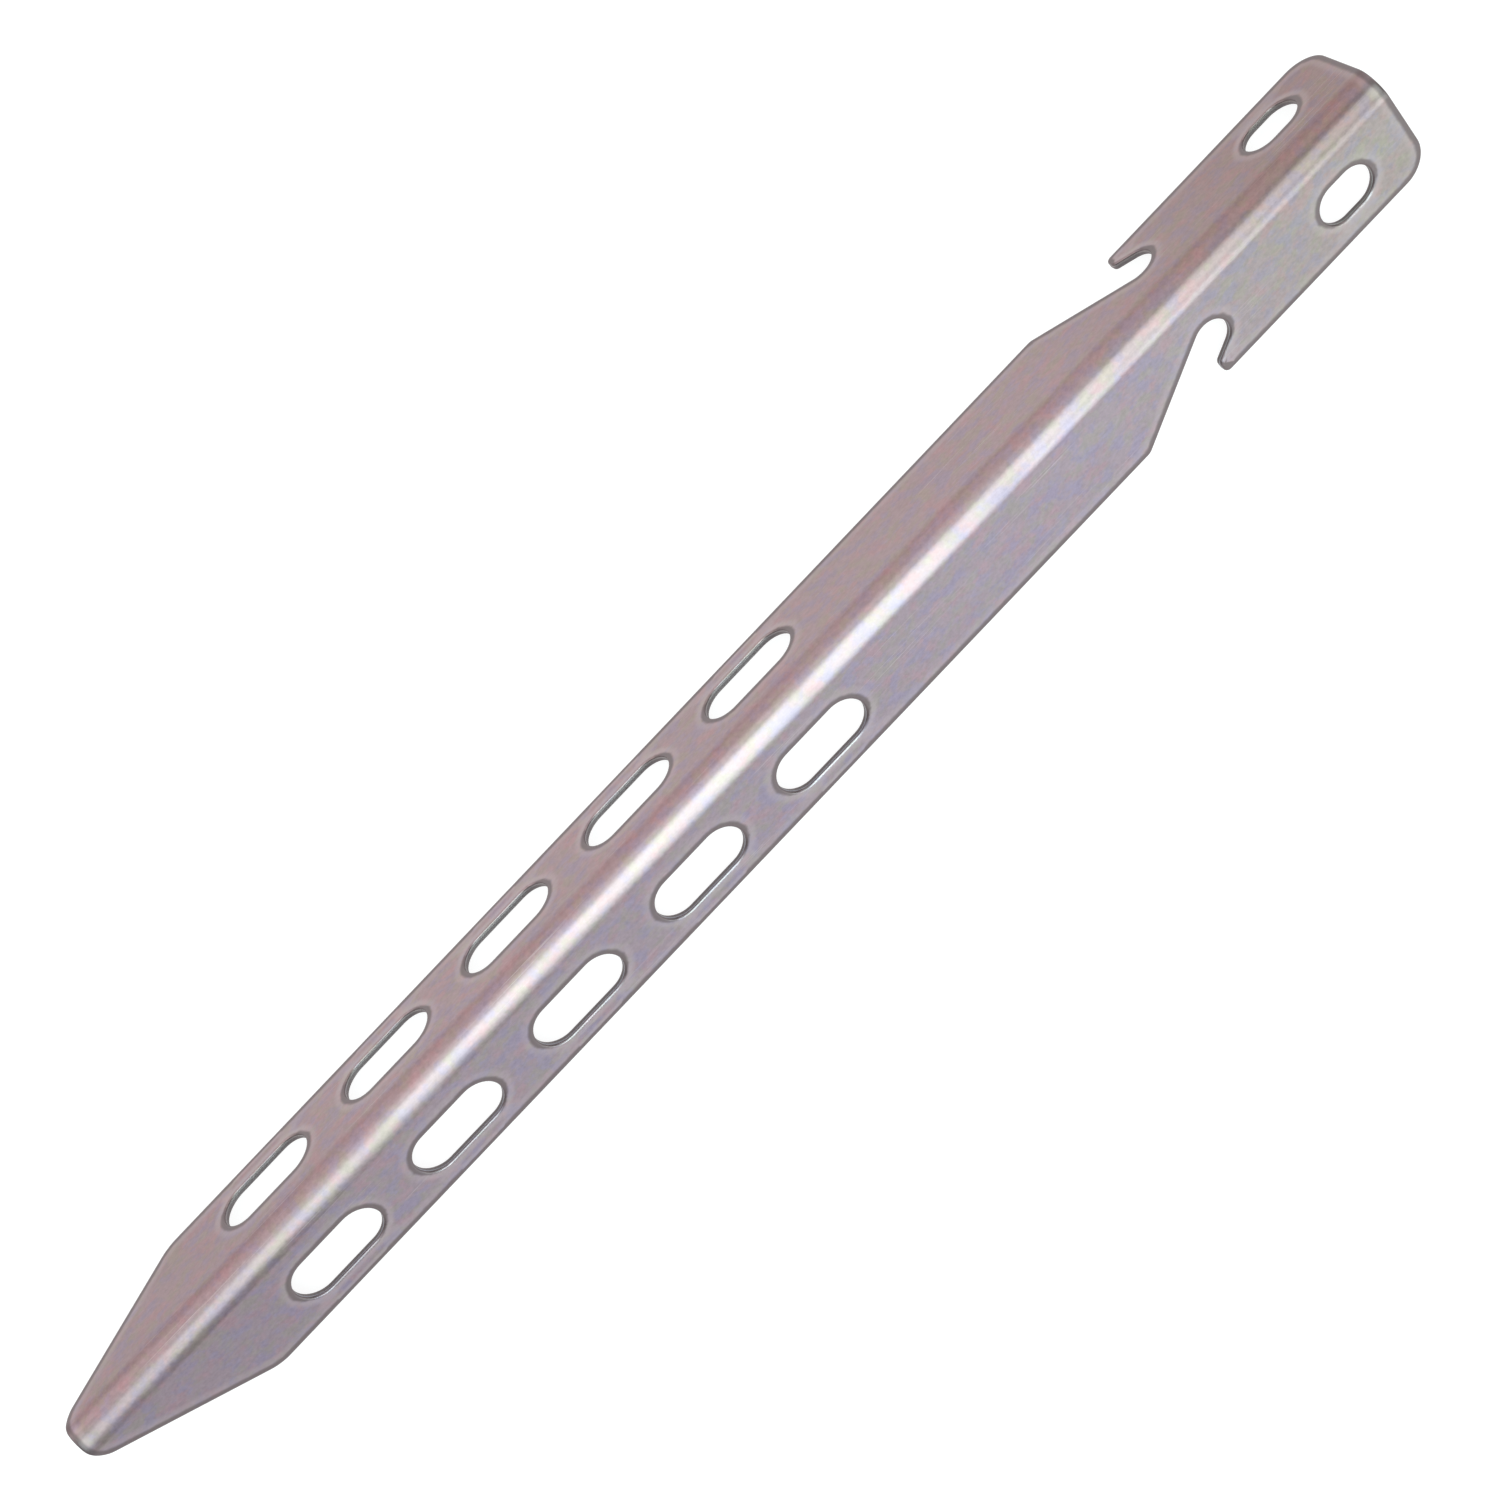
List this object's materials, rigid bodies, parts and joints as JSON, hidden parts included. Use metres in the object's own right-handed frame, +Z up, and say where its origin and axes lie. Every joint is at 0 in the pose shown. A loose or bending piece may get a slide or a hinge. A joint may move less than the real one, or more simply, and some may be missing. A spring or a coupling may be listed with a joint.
{
  "type": "tent stake",
  "caption": "V-section tent stake of folded titanium sheet, with a tapered tip, hook notches for a guy line and lightening slots.",
  "frame": {"origin": "under the middle of the stake's length, on the surface that it lies on, ridge up", "axes": "+X along the stake towards its head, +Z up through the ridge of the fold, Y across the two flanges"},
  "size_m": [0.165, 0.015, 0.0086],
  "materials": {
    "titanium": "dull bare titanium, faint pink and violet cast"
  },
  "bodies": {
    "root": {"stake_body": "titanium"}
  },
  "joints": []
}
